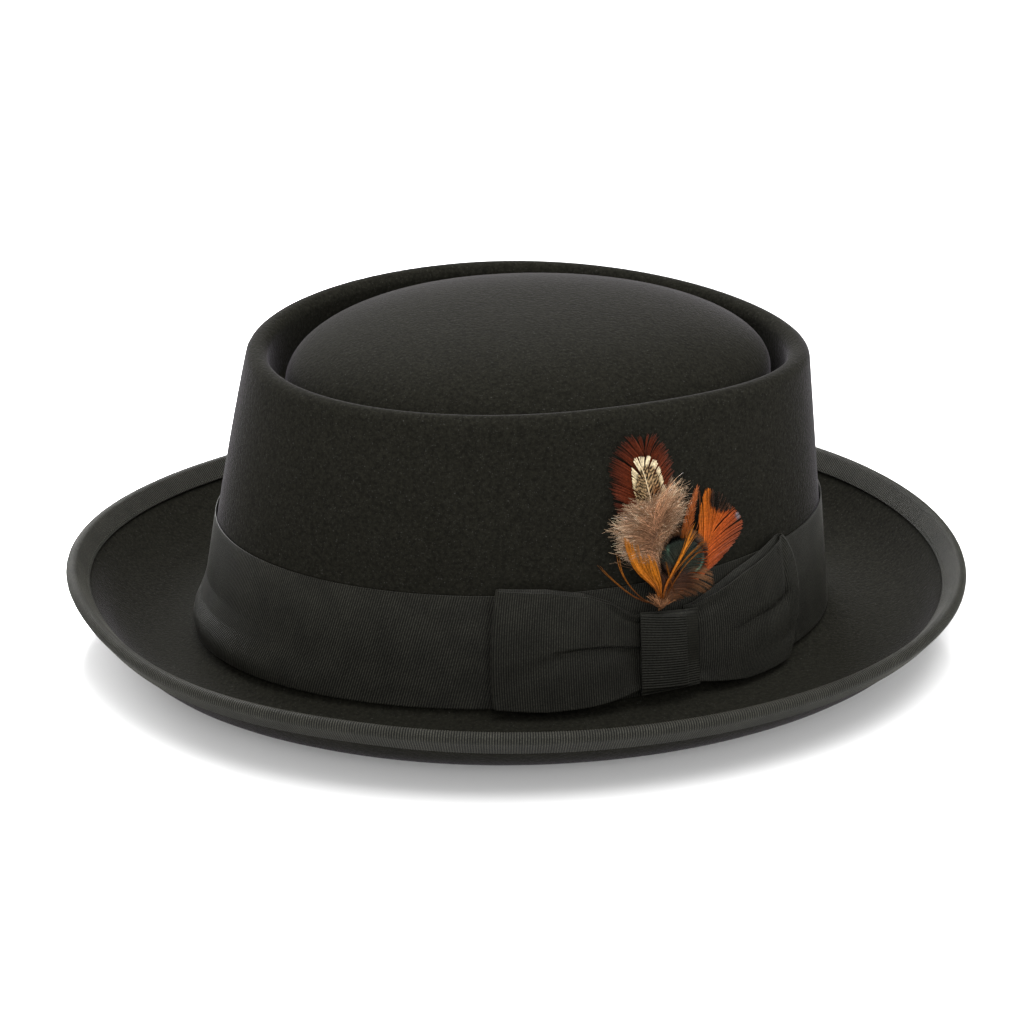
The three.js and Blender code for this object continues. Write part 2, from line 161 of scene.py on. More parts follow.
def felt_outline(section):
    top, lean, tilt, _ = wall_of(section)
    ridge = section["foot"] - lean - LIP_ROUND * math.cos(tilt)
    flank = ridge - LIP_ROUND - GROOVE_WIDTH
    shoulder = SHOULDER_LEVEL * section["shoulder"]
    turn = np.radians(np.linspace(0, 90, 38))
    dome = np.column_stack([
        flank * np.sin(turn) ** (2 / DOME_FULLNESS),
        mix(shoulder, DOME_HEIGHT, np.abs(np.cos(turn)) ** (2 / DOME_FULLNESS)),
    ])
    half = GROOVE_WIDTH / 2
    groove_top = top - GROOVE_DEPTH + half
    drop = np.linspace([flank, shoulder], [flank, groove_top], 7)[1:-1]
    groove = arc(flank + half, groove_top, half, 180, 360, 10)
    climb = np.linspace(groove[-1], [flank + GROOVE_WIDTH, top - LIP_ROUND], 8)[1:-1]
    lip = arc(ridge, top - LIP_ROUND, LIP_ROUND, 180, math.degrees(tilt), 14)
    side = wall_point(section, np.linspace(1, 0, 30)[1:-1])
    foot = arc(section["foot"] + FOOT_ROUND, FOOT_HEIGHT, FOOT_ROUND, 180, 265, 6)
    return np.vstack([dome, drop, groove, climb, lip, side, foot, brim_outline(section, 16)])


def blend(angle, front, side, back):
    """Points at angles round the hat; front, side and back give the sections' points there."""
    cos, sin = np.cos(angle), np.sin(angle)
    ahead = cos < 0
    out = np.where(ahead, front[..., 0], back[..., 0])
    up = np.where(ahead, front[..., 1], back[..., 1]) * cos ** 2 + side[..., 1] * sin ** 2
    return np.stack([out * cos, side[..., 0] * sin, up], -1)


def shape_brim(points, angle):
    """The brim is a little fuller than an oval and sags in places."""
    out = 2 * np.hypot(points[..., 0] / BRIM_LENGTH, points[..., 1] / BRIM_WIDTH)
    for depth, middle, half in SAGS:
        away = np.abs(np.degrees(angle) % 360 - middle)
        points[..., 2] -= depth * smooth(0.85, 1, out) * (1 - smooth(0, half, away))
    fuller = 1 + BRIM_FULLNESS * np.sin(2 * angle) ** 2 * smooth(0.78, 1, out)
    points[..., :2] *= fuller[..., None]
    return points


def ring(outline_of, steps):
    """Rows of points round the hat, one row for each angle."""
    angle = np.arange(steps)[:, None] * 2 * math.pi / steps
    return shape_brim(blend(angle, *map(outline_of, SECTIONS.values())), angle)


def wall_surface(angle, height):
    """Points on the crown's wall at angles and heights."""
    tops = [wall_of(section)[3] for section in SECTIONS.values()]
    cos, sin = np.cos(angle), np.sin(angle)
    top = np.where(cos < 0, tops[0], tops[2]) * cos ** 2 + tops[1] * sin ** 2
    share = (height - FOOT_HEIGHT) / (top - FOOT_HEIGHT)
    return blend(angle, *(wall_point(section, share) for section in SECTIONS.values()))


# Distances round the crown at the knot's level, from the knot, at the angles in TURN
TURN = np.radians(np.linspace(-KNOT_ANGLE - 180, -KNOT_ANGLE + 180, 2881))
LEVEL_LINE = wall_surface(TURN, np.full_like(TURN, KNOT_LEVEL))
LENGTHS = np.concatenate([[0], np.cumsum(np.linalg.norm(np.diff(LEVEL_LINE, axis=0), axis=1))])
ROUND = LENGTHS[-1]
LENGTHS -= np.interp(math.radians(-KNOT_ANGLE), TURN, LENGTHS)
SMALL_TURN = 0.004


def on_wall(along, height, lift):
    """Points a distance along the band from the knot (+ to the back), at a height, off the felt."""
    along, height, lift = np.broadcast_arrays(along, height, lift)
    first = LENGTHS[0]
    angle = np.interp((along - first) % ROUND + first, LENGTHS, TURN)
    point = wall_surface(angle, height)
    level = wall_surface(angle + SMALL_TURN, height) - point
    rise = wall_surface(angle, height + 1) - point
    return point + unit(np.cross(level, rise)) * lift[..., None]


# Meshes

def add_object(name, data):
    thing = bpy.data.objects.new(name, data)
    bpy.context.scene.collection.objects.link(thing)
    return thing


def add_mesh(name, points, faces, replaces, material, uv=None, shade=None):
    """A piece of the hat from points in mm. uv and shade are given for each point."""
    mesh = bpy.data.meshes.new(name)
    counts = np.concatenate([np.full(len(f), f.shape[1]) for f in faces])
    loops = np.concatenate([f.ravel() for f in faces])
    mesh.vertices.add(len(points))
    mesh.vertices.foreach_set("co", (points * MM).astype(np.float32).ravel())
    mesh.loops.add(len(loops))
    mesh.loops.foreach_set("vertex_index", loops.astype(np.int32))
    mesh.polygons.add(len(counts))
    mesh.polygons.foreach_set("loop_start", (np.cumsum(counts) - counts).astype(np.int32))
    mesh.polygons.foreach_set("use_smooth", np.full(len(counts), True))
    mesh.update(calc_edges=True)
    if uv is not None:
        layer = mesh.uv_layers.new(name="weave")
        layer.data.foreach_set("uv", uv[loops].astype(np.float32).ravel())
    if shade is not None:
        layer = mesh.color_attributes.new(name="shade", type="FLOAT_COLOR", domain="POINT")
        rgba = np.column_stack([shade, np.ones(len(shade))])
        layer.data.foreach_set("color", rgba.astype(np.float32).ravel())
    mesh.validate()
    piece = add_object(name, mesh)
    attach(piece, "root")
    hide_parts(*replaces)
    mesh.materials.append(material)


def grid_faces(rows, columns, wrap_rows=False, wrap_columns=False):
    """Four-sided faces between rows of points, joined end to end where they wrap."""
    r = np.arange(rows if wrap_rows else rows - 1)[:, None]
    c = np.arange(columns if wrap_columns else columns - 1)[None, :]
    a = r * columns + c
    b = r * columns + (c + 1) % columns
    d = ((r + 1) % rows) * columns + c
    e = ((r + 1) % rows) * columns + (c + 1) % columns
    return np.stack(np.broadcast_arrays(a, b, e, d), -1).reshape(-1, 4)


def turned_out(points, faces):
    """Whether the faces of a closed mesh face outwards."""
    quad = points[faces]
    volume = (quad[:, 0] * np.cross(quad[:, 1], quad[:, 2])).sum()
    volume += (quad[:, 0] * np.cross(quad[:, 2], quad[:, 3])).sum()
    return volume > 0


# Materials

class Shader:
    """A material's node tree, with one call for each node."""

    def __init__(self, name):
        self.material = bpy.data.materials.new(name)
        self.material.use_nodes = True
        self.nodes = self.material.node_tree.nodes
        self.links = self.material.node_tree.links
        self.nodes.clear()
        self.out = self.add("OutputMaterial")
        self.bsdf = self.add("BsdfPrincipled")
        self.links.new(self.bsdf.outputs[0], self.out.inputs["Surface"])

    def add(self, kind, inputs=None, **settings):
        node = self.nodes.new("ShaderNode" + kind)
        for name, value in settings.items():
            setattr(node, name, value)
        for name, value in (inputs or {}).items():
            self.set(node, name, value)
        return node

    def set(self, node, name, value):
        socket = node.inputs[name]
        if hasattr(value, "is_output"):
            self.links.new(value, socket)
        else:
            socket.default_value = value

    def finish(self, **inputs):
        for name, value in inputs.items():
            self.set(self.bsdf, name.replace("_", " "), value)
        return self.material

    def noise(self, scale, detail, roughness=0.5):
        place = self.add("TexCoord").outputs["Object"]
        inputs = {"Vector": place, "Scale": scale, "Detail": detail, "Roughness": roughness}
        return self.add("TexNoise", inputs).outputs["Fac"]

    def ramp(self, value, low, high, dark, light):
        """Colour from dark to light as the value goes from low to high."""
        node = self.add("ValToRGB", {"Fac": value})
        node.color_ramp.elements[0].position = low
        node.color_ramp.elements[1].position = high
        node.color_ramp.elements[0].color = (*dark, 1)
        node.color_ramp.elements[1].color = (*light, 1)
        return node.outputs["Color"]

    def math(self, operation, a, b=0.5):
        return self.add("Math", {0: a, 1: b}, operation=operation).outputs[0]

    def mix(self, share, a, b, blend_type="MIX"):
        node = self.add("Mix", data_type="RGBA", blend_type=blend_type)
        self.set(node, 0, share)
        self.set(node, 6, a)
        self.set(node, 7, b)
        return node.outputs[2]

    def bump(self, height, distance, strength):
        inputs = {"Height": height, "Distance": distance, "Strength": strength}
        return self.add("Bump", inputs).outputs["Normal"]

    def uv(self):
        return self.add("UVMap", uv_map="weave").outputs["UV"]


def grey(value, warm=0.0):
    return (value, value * (1 - 0.1 * warm), value * (1 - warm))


def felt_material():
    s = Shader("felt")
    cloud = s.noise(38, 3)
    grain = s.noise(900, 3, 0.65)
    lint = s.noise(2600, 1)
    colour = s.mix(cloud, (*grey(0.0082, 0.3), 1), (*grey(0.0106, 0.28), 1))
    specks = s.ramp(lint, 0.66, 0.8, grey(0.0), grey(0.03))
    colour = s.mix(1.0, colour, specks, "ADD")
    grains = s.ramp(grain, 0.35, 0.75, grey(0.6), grey(1.5))
    colour = s.mix(1.0, colour, grains, "MULTIPLY")
    normal = s.bump(grain, 0.0005, 0.55)
    return s.finish(
        Base_Color=colour, Roughness=0.95, Normal=normal, Specular_IOR_Level=0.04,
        Sheen_Weight=0.1, Sheen_Roughness=0.22, Sheen_Tint=(0.95, 0.88, 1.0, 1),
    )


def ribbon_material(name, dark, light, roughness=0.45):
    """Grosgrain: the map's first number counts ribs and its second is millimetres along a rib. Its colour
    goes from dark in the grooves to light on the ribs, a painted groove shade and rib highlight.
    """
    s = Shader(name)
    split = s.add("SeparateXYZ", {"Vector": s.uv()})
    rib = s.math("COSINE", s.math("MULTIPLY", split.outputs[0], 2 * math.pi))
    cross = s.math("COSINE", s.math("MULTIPLY", split.outputs[1], 2 * math.pi * THREADS))
    patch = s.noise(120, 2)
    fleck = s.noise(3200, 1)
    # Painted shade in the grooves and painted highlight on the ribs: dark at the groove, light at the rib's
    # crest
    colour = s.ramp(s.math("MULTIPLY_ADD", rib, 0.5), 0.15, 1.0, grey(dark, 0.23), grey(light, 0.23))
    colour = s.mix(1.0, colour, s.ramp(patch, 0.3, 0.7, grey(0.82), grey(1.15)), "MULTIPLY")
    colour = s.mix(1.0, colour, s.ramp(fleck, 0.3, 0.75, grey(0.55), grey(1.5)), "MULTIPLY")
    normal = s.bump(cross, 0.00006, 0.6)
    return s.finish(
        Base_Color=colour, Roughness=roughness, Normal=normal, Specular_IOR_Level=0.09,
        Sheen_Weight=0.02, Sheen_Roughness=0.25, Sheen_Tint=(0.98, 0.94, 1.0, 1),
    )


FELT_MATERIAL = felt_material()
# Each ribbon's two values set its painted groove shade and painted rib highlight
BAND_MATERIAL = ribbon_material("band_ribbon", 0.005, 0.028)
BOW_MATERIAL = ribbon_material("bow_ribbon", 0.005, 0.026)
KNOT_MATERIAL = ribbon_material("knot_ribbon", 0.008, 0.018)
BINDING_MATERIAL = ribbon_material("binding_ribbon", 0.002, 0.037, 0.5)


# Felt

FELT_STEPS = 420


def felt_body():
    def outline(section):
        outside = felt_outline(section)
        inside = offset(outside[::2], -FELT)
        inside[0] = [0, DOME_HEIGHT - FELT]
        return np.vstack([outside, inside[::-1]])
    rows = ring(outline, FELT_STEPS)[:, 1:-1]
    steps, width = rows.shape[:2]
    points = np.vstack([rows.reshape(-1, 3), [[0, 0, DOME_HEIGHT], [0, 0, DOME_HEIGHT - FELT]]])
    row = np.arange(steps) * width
    after = np.roll(row, -1)
    apex = np.full(steps, steps * width)
    tip = np.stack([apex, row, after], -1)
    inner_tip = np.stack([after + width - 1, row + width - 1, apex + 1], -1)
    faces = [grid_faces(steps, width, wrap_rows=True), np.vstack([tip, inner_tip])]
    add_mesh("felt", points, faces, ["felt_body"], FELT_MATERIAL)


# Ribbons

def rows_across(count, *more):
    """Where the rows of a ribbon lie across it: closer at its edges, and at the shares in more."""
    ease = 0.5 - 0.5 * np.cos(np.linspace(0, math.pi, count))
    return np.unique(np.concatenate([mix(shares(count), ease, 0.6), [0.006, 0.994], more]))


def end_cap(outer, backing):
    """Triangles over the end of a ribbon, whose rim has outer points up and backing points down."""
    partner = outer + backing - 1 - np.round(np.linspace(0, backing - 1, outer)).astype(int)
    faces = []
    for k in range(outer - 1):
        faces.append([k, k + 1, partner[k]])
        if partner[k + 1] != partner[k]:
            faces.append([k + 1, partner[k + 1], partner[k]])
    return np.array(faces)


def ribbed(name, sheet, columns, across, ribs, rib_length, replaces, material, backing=9, closed=False):
    """A ribbon as one closed sheet. sheet gives the points at u (0..1 along the ribbon) and
    v (0..1 across it), off its middle by a lift; ribs is how many ribs lie along u."""
    u = np.linspace(0, 1, columns, endpoint=not closed)
    grid_u, grid_v = np.meshgrid(u, across, indexing="ij")
    rib = 0.5 + 0.5 * np.cos(2 * math.pi * grid_u * ribs)
    selvedge = smooth(0, 0.03, grid_v) * smooth(0, 0.03, 1 - grid_v)
    outer = sheet(grid_u, grid_v, WEAVE / 2 - RIB_DEPTH * (1 - rib) * mix(0.35, 1, selvedge))
    back_u, back_v = np.meshgrid(u, np.linspace(1, 0, backing), indexing="ij")
    inner = sheet(back_u, back_v, np.full_like(back_u, -WEAVE / 2))
    points = np.concatenate([outer, inner], 1)
    width = points.shape[1]
    flat = points.reshape(-1, 3)
    faces = [grid_faces(columns, width, wrap_rows=closed, wrap_columns=True)]
    if not closed:
        cap = end_cap(len(across), backing)
        faces.append(np.vstack([cap[:, ::-1], cap + (columns - 1) * width]))
    if not turned_out(flat - flat.mean(0), faces[0]):
        faces = [f[:, ::-1] for f in faces]
    uv = np.concatenate([np.stack([grid_u, grid_v], -1), np.stack([back_u, back_v], -1)], 1)
    uv = uv * [ribs, rib_length]
    add_mesh(name, flat, faces, replaces, material, uv.reshape(-1, 2))


# The band leans by BAND_SLANT from its low edge to its high one, stands a little off its gap, has
# flattened ribs and is dented along the folded end of the bow's front loop.
BAND_SLANT, BAND_STAND, BAND_RELIEF = 4, 0.15, 0.6
DENT_PAST, DENT_DEPTH, DENT_HALF = 0.7, 0.3, 0.6


def hat_band():
    ribs = round(ROUND / BAND_RIB)

    def sheet(u, v, lift):
        along = u * ROUND + mix(-BAND_SLANT, BAND_SLANT, v)
        height = BAND_LOW + v * BAND_HEIGHT
        from_end = np.abs((along + ROUND / 2) % ROUND - ROUND / 2 + LOOP_REACH + DENT_PAST)
        dent = DENT_DEPTH * np.exp(-(from_end / DENT_HALF) ** 2)
        point = on_wall(along, height, GAP + WEAVE / 2 + BAND_STAND + BAND_RELIEF * lift - dent)
        angle = np.abs(np.degrees(np.arctan2(-point[..., 1], -point[..., 0])))
        flare = BAND_FLARE * (1 - smooth(0, FLARE_HALF_ANGLE, angle))
        flare = flare * np.exp(-((v * BAND_HEIGHT - FLARE_LEVEL) / FLARE_REACH) ** 2)
        point[..., :2] += unit(point[..., :2]) * flare[..., None]
        return point
    ribbed("band", sheet, ribs * RIB_STEPS, rows_across(14), ribs, BAND_HEIGHT, ["hat_band"],
           BAND_MATERIAL, backing=5, closed=True)


# The binding: its lift off the gap, the depth of its ribs as a share of its thickness, its cut edge,
# and the steps round the fold outside and inside
BINDING_LIFT, BINDING_RELIEF, BINDING_EDGE = 0.2, 0.34, 0.3
OUTER_BENDS, INNER_BENDS = 9, 3

# Its stitches: how far in from its edge, steps between them and half their thickness
STITCH_IN, STITCH_STEPS, STITCH_HALF = 1.1, 8, 0.15


def binding_fold(section, lift, bends):
    """The ribbon's outline, folded round the edge of the brim."""
    slope = math.radians(section["slope"])
    along = np.array([math.cos(slope), math.sin(slope)])
    across = np.array([-along[1], along[0]])
    middle = np.array([section["edge"], BRIM_RISE * section["rise"]]) - across * FELT / 2
    radius = FELT / 2 + GAP + lift
    turn = np.radians(np.linspace(-90, 90, bends))
    edge = [-BINDING_WIDTH, -BINDING_WIDTH + BINDING_EDGE]
    forth = np.concatenate([edge, radius * np.cos(turn), edge[::-1]])
    side = np.concatenate([[-radius] * 2, radius * np.sin(turn), [radius] * 2])
    return middle + along * forth[:, None] + across * side[:, None]


def stitches(rim, fold):
    """Small beads between the binding's rim and its fold: their points and faces."""
    seam = mix(rim, fold, STITCH_IN / BINDING_WIDTH)
    start = np.arange(0, len(seam) - STITCH_STEPS + 1, STITCH_STEPS)
    tail, head = seam[start + 1], seam[start + STITCH_STEPS - 2]
    middle = (tail + head) / 2
    side = unit(rim[start] - fold[start])
    up = unit(np.cross(side, head - tail))
    up = up * np.sign(up[:, 2:])
    side, up = side * STITCH_HALF, up * STITCH_HALF
    beads = np.stack([tail, middle + side, head, middle - side, middle + up, middle - up], 1)
    around = np.arange(4)
    after = (around + 1) % 4
    top, bottom = np.full(4, 4), np.full(4, 5)
    faces = np.vstack([np.stack([top, around, after], -1), np.stack([bottom, after, around], -1)])
    peak = beads[0, 4]
    if np.cross(beads[0, 0] - peak, beads[0, 1] - peak) @ (peak - middle[0]) < 0:
        faces = faces[:, ::-1]
    faces = np.arange(len(beads))[:, None, None] * beads.shape[1] + faces
    return beads.reshape(-1, 3), faces.reshape(-1, 3)


def brim_binding():
    ribs = round(2 * math.pi * (BRIM_LENGTH + BRIM_WIDTH) / 4 / BINDING_RIB)
    steps = ribs * RIB_STEPS

    def layer(lift, bends):
        return ring(lambda section: binding_fold(section, lift, bends), steps)
    high, low = layer(BINDING_LIFT + WEAVE, OUTER_BENDS), layer(BINDING_LIFT, OUTER_BENDS)
    rib = 0.5 + 0.5 * np.cos(np.arange(steps) * 2 * math.pi / RIB_STEPS)
    outer = mix(high, low, BINDING_RELIEF * (1 - rib)[:, None, None])
    rows = np.concatenate([outer, layer(BINDING_LIFT, INNER_BENDS)[:, ::-1]], 1)
    points = rows.reshape(-1, 3)
    faces = grid_faces(steps, rows.shape[1], wrap_rows=True, wrap_columns=True)
    if not turned_out(points, faces):
        faces = faces[:, ::-1]
    across = np.linalg.norm(np.diff(rows[0], axis=0), axis=1)
    across[outer.shape[1] - 1] = 0
    forth = np.concatenate([[0], np.cumsum(across)])
    uv = np.stack(np.broadcast_arrays(np.arange(steps)[:, None] / RIB_STEPS, forth), -1).reshape(-1, 2)
    beads, bead_faces = stitches(high[:, -1], high[:, -3])
    # The beads' map is zero, which gives them the ribs' lighter, painted-highlight colour
    uv = np.vstack([uv, np.zeros((len(beads), 2))])
    faces = [faces, bead_faces + len(points)]
    points = np.vstack([points, beads])
    add_mesh("binding", points, faces, ["brim_binding"], BINDING_MATERIAL, uv)


# Bow

LOOP_LIFT = GAP + RIBBON + GAP
LOOP_BEND, LOOP_PUFF, LOOP_LEAST = 1.3, 1.7, 0.7
DIMPLE_DEPTH, DIMPLE_HALF = 0.6, 1.1

# way is -1 towards the front. low and high are the loop's edges at the shares of its reach in out,
# and bulge rounds its folded end. folds are lines of (share of the loop, level across it, depth), each
# with its reach below and above the line; bars are grooves across the ribbon: (distance out, half
# width, lowest level, depth). dimples, where a stitch pulls the ribbon in, are (distance out, level).
LOOPS = {
    "bow_loop_front": dict(
        way=-1, bulge=0.02, out=(0.0, 0.18, 0.34, 0.48, 0.7, 1.0),
        low=(0.27, 0.24, 0.2, 0.175, 0.16, 0.185), high=(0.86, 0.86, 1.01, 1.1, 1.16, 1.18),
        folds=[
            ([(0, 0.57, 1.3), (0.3, 0.54, 1.1), (0.5, 0.51, 0.7), (0.68, 0.48, 0)], 0.13, 0.015),
            ([(0, 0.3, 1.3), (0.07, 0.3, 1.1), (0.2, 0.34, 0)], 0.24, 0.2),
            ([(0.45, 0.47, 0), (0.62, 0.44, 0.45), (0.78, 0.35, 0.5), (0.92, 0.27, 0.3), (1, 0.2, 0)],
             0.07, 0.05),
            ([(0, 0.9, 0.9), (0.07, 0.92, 0.9), (0.17, 0.91, 0.8), (0.27, 0.96, 0.5), (0.36, 1, 0)],
             0.05, 0.03),
            ([(0, 0.75, 0.3), (0.15, 0.77, 0.35), (0.4, 0.84, 0)], 0.06, 0.06),
        ],
        bars=[], dimples=[(52.6, 0.9), (53.0, 0.11)]),
    "bow_loop_back": dict(
        way=1, bulge=0.13, out=(0.0, 0.18, 0.48, 0.7, 1.0),
        low=(0.26, 0.21, 0.14, 0.13, 0.13), high=(0.84, 0.87, 1.04, 1.12, 1.26),
        folds=[
            ([(0.28, 0.5, 0), (0.5, 0.52, 0.55), (0.7, 0.5, 0.9), (0.86, 0.51, 1.0), (0.93, 0.56, 0)],
             0.09, 0.03),
            ([(0, 0.12, 0.9), (0.1, 0.12, 0.6), (0.24, 0.14, 0)], 0.06, 0.08),
            ([(0, 0.86, 0.7), (0.2, 0.88, 0.5), (0.5, 0.9, 0)], 0.05, 0.05),
            ([(0.5, 0.16, 0), (0.8, 0.2, 0.45), (1, 0.2, 0.6)], 0.06, 0.05),
        ],
        bars=[(46.6, 0.9, 0.5, 0.7)], dimples=[(43.0, 0.93), (47.5, 0.22)]),
}


def bow_loop(node, way, bulge, out, low, high, folds, bars, dimples):
    start = KNOT_WIDTH / 2 - LOOP_TUCK
    bend = LOOP_REACH - LOOP_BEND
    ribs = int(2 * (bend - start) / BOW_RIB) + 3
    turn = math.pi * LOOP_BEND
    under = LOOP_LIFT + WEAVE / 2

    def pushed(reach, share, v):
        depth = np.zeros_like(reach)
        for marks, below, above in folds:
            at, level, deep = zip(*marks)
            away = v - np.interp(share, at, level)
            depth += np.interp(share, at, deep) * np.exp(-(away / np.where(away < 0, below, above)) ** 2)
        for place, half, lowest, deep in bars:
            depth += deep * np.exp(-((reach - place) / half) ** 2) * smooth(lowest - 0.08, lowest + 0.08, v)
        for place, level in dimples:
            away = np.hypot(reach - place, (v - level) * BOW_HEIGHT)
            depth += DIMPLE_DEPTH * np.exp(-(away / DIMPLE_HALF) ** 2)
        return depth

    def sheet(u, v, lift):
        end = bend - bulge * LOOP_REACH * (2 * v - 1) ** 2
        length = end - start
        s = u * (2 * length + turn)
        share = np.clip(s / length, 0, 1)
        top = start + share * length
        rise = under + mix(2 * LOOP_BEND, LOOP_BEND, 1 - smooth(0, 0.35, share))
        rise = rise + LOOP_PUFF * np.sin(math.pi * share) - pushed(top, share, v)
        rise = np.maximum(rise, under + LOOP_LEAST) + lift
        at_fold = (s > length) & (s <= length + turn)
        angle = math.pi / 2 - (s - length) / LOOP_BEND
        fold_out = end + (LOOP_BEND + lift) * np.cos(angle)
        fold_lift = under + LOOP_BEND + (LOOP_BEND + lift) * np.sin(angle)
        fold_lift -= pushed(fold_out, 1, v) * smooth(0, math.pi / 2, angle)
        back = s > length + turn
        back_out = end - (s - length - turn)
        reach = np.where(back, back_out, np.where(at_fold, fold_out, top))
        rise = np.where(back, under - lift, np.where(at_fold, fold_lift, rise))
        along = reach / LOOP_REACH
        bottom = np.interp(along, out, low) * BOW_HEIGHT
        upper = np.interp(along, out, high) * BOW_HEIGHT
        return on_wall(way * reach, mix(bottom, upper, v), rise)
    crease = folds[0][0][0][1] - 0.03 + np.linspace(-0.1, 0.06, 22)
    ribbed(node.replace("bow_", ""), sheet, ribs * RIB_STEPS, rows_across(22, *crease), ribs, BOW_HEIGHT,
           [node], BOW_MATERIAL)


KNOT_LIFT, KNOT_PUFF, KNOT_TILT = 4.9, 1.2, 0.08
PLY_STEP, PLY_ROWS = 0.45, (0.765, 0.768, 0.771, 0.775, 0.779, 0.782, 0.785)


def bow_knot():
    """The knot's ribbon ends in a narrower ply that shows along its right side."""
    top = KNOT_LEVEL + KNOT_HEIGHT / 2
    ribs = int(KNOT_HEIGHT / KNOT_RIB)

    def sheet(u, v, lift):
        puff = KNOT_PUFF * np.sin(math.pi * mix(0.1, 0.9, v))
        ends = smooth(0, 0.06, u) * smooth(0, 0.06, 1 - u)
        ply = smooth(PLY_ROWS[0], PLY_ROWS[-1], v)
        plain = ply * (1 - smooth(0.6, 0.72, u)) * (lift > 0)
        lift = mix(lift, WEAVE / 2 - 0.5 * RIB_DEPTH, plain)
        rise = KNOT_LIFT + puff * ends + lift - PLY_STEP * ply * ends
        tilt = (v - 0.5) * KNOT_WIDTH * KNOT_TILT
        drop = mix(0.4 + 2.1 * v, 1.55, u)
        return on_wall((v - 0.5) * KNOT_WIDTH, top - u * KNOT_HEIGHT - tilt * ends - drop, rise)
    ribbed("knot", sheet, ribs * KNOT_RIB_STEPS, rows_across(20, *PLY_ROWS), ribs, KNOT_WIDTH,
           ["bow_knot"], KNOT_MATERIAL)


# Feathers. Their outlines are in mm in a plane facing the camera, right of and above the bunch's
# foot, and each barb is laid on the crown from there at its own height off the felt.

BUNCH = (-3.0, 34.9)


def facing(points):
    """Where points lie in the plane facing the camera at the bunch's foot."""
    away = points - (TARGET + TO_CAMERA * DISTANCE)
    depth = -(away @ TO_CAMERA)
    return np.stack([away @ RIGHT, away @ UP], -1) / depth[..., None] * DISTANCE


FOOT = facing(on_wall(*BUNCH, 4.0))


def seen(aim, lift):
    """Points on the crown, off the felt by lift, that show where aim lies from the bunch's foot."""
    place = aim / [0.96, 0.93] + BUNCH
    step = facing(on_wall(np.array([-2.0, -1, -2]), np.array([60.0, 60, 61]), 4.0))
    inverse = np.linalg.inv(np.stack([step[1] - step[0], step[2] - step[0]], -1))
    for _ in range(8):
        miss = aim - (facing(on_wall(place[..., 0], place[..., 1], lift)) - FOOT)
        place = place + miss @ inverse.T
    return on_wall(place[..., 0], place[..., 1], lift)


def along_line(line, share):
    """Points at shares of the way along a smoothed line of (x, y) marks."""
    line = np.array(line, float)
    for _ in range(2):
        inner = np.stack([mix(line[:-1], line[1:], 0.25), mix(line[:-1], line[1:], 0.75)], 1)
        line = np.vstack([line[:1], inner.reshape(-1, 2)[1:-1], line[-1:]])
    length = np.concatenate([[0], np.cumsum(np.hypot(*np.diff(line, axis=0).T))])
    at = np.asarray(share) * length[-1]
    return np.stack([np.interp(at, length, line[:, 0]), np.interp(at, length, line[:, 1])], -1)


def strands(paths, lift, width, colour):
    """Points, faces and colours of thin three-sided strands. paths is (n, k, 2) in the facing
    plane; lift, width and colour are given for each of their points."""
    count, steps = paths.shape[:2]
    middle = seen(paths, lift)
    way = unit(np.gradient(middle, axis=1))
    off = unit(middle * [1, 1, 0])
    side = unit(np.cross(way, off))
    half = width[..., None] / 2
    ring3 = np.stack([middle - side * half, middle + side * half, middle + off * half * 0.5], 2)
    points = ring3.reshape(-1, 3)
    base = np.arange(count)[:, None, None] * steps * 3
    row = base + np.arange(steps - 1)[:, None] * 3
    corner = np.arange(3)
    follow = (corner + 1) % 3
    quads = np.stack([row + corner, row + follow, row + 3 + follow, row + 3 + corner], -1).reshape(-1, 4)
    ends = np.concatenate([base[:, 0] + [[2, 1, 0]], base[:, 0] + (steps - 1) * 3 + [[0, 1, 2]]])
    return points, quads, ends, np.repeat(colour.reshape(-1, 3), 3, 0)


class Plume:
    """Strands gathered into one piece."""

    def __init__(self):
        self.parts = []

    def add(self, paths, lift, width, colour):
        shape = paths.shape[:2]
        lift, width = (np.broadcast_to(value, shape) for value in (lift, width))
        colour = np.broadcast_to(colour, (*shape, 3))
        self.parts.append(strands(paths, lift, width, colour))

    def make(self, name, material):
        points, *kinds, shades = zip(*self.parts)
        starts = np.cumsum([0] + [len(p) for p in points])
        faces = [np.vstack([f + start for f, start in zip(kind, starts)]) for kind in kinds]
        add_mesh(name, np.vstack(points), faces, ["feather_" + name], material, shade=np.vstack(shades))


def curves(start, bend, end, steps):
    """Paths from each start to its end, drawn towards its bend."""
    t = shares(steps)[:, None]
    start, bend, end = start[:, None], bend[:, None], end[:, None]
    return (1 - t) ** 2 * start + 2 * t * (1 - t) * bend + t * t * end


def barbs(shaft, tips, count, root, curve, splits, jitter, steps):
    """Paths from a shaft to a line of tips. root is the stretch of the shaft that they leave and
    curve how much they set out along it; splits are (place, width) of the gaps along the tips."""
    share = np.clip((np.arange(count) + rng.uniform(-0.3, 0.3, count)) / count, 0, 1)
    parted = share.copy()
    for place, width in splits:
        away = share - place
        parted += np.sign(away) * width / 2 * np.exp(-np.abs(away) / (1.2 * width))
    at = mix(*root, share)
    start = along_line(shaft, at)
    ahead = along_line(shaft, np.minimum(at + 0.08, 1))
    end = along_line(tips, np.clip(parted, 0, 1)) + rng.normal(0, jitter, (count, 2))
    reach = np.linalg.norm(end - start, axis=1)[:, None]
    bend = mix(start, end, 0.4) + unit(ahead - start + 1e-6) * reach * curve
    return curves(start, bend, end, steps)


def linear(colour):
    """An sRGB colour, 0..255, as light."""
    share = np.array(colour, float) / 255
    return np.where(share <= 0.04045, share / 12.92, ((share + 0.055) / 1.055) ** 2.4)


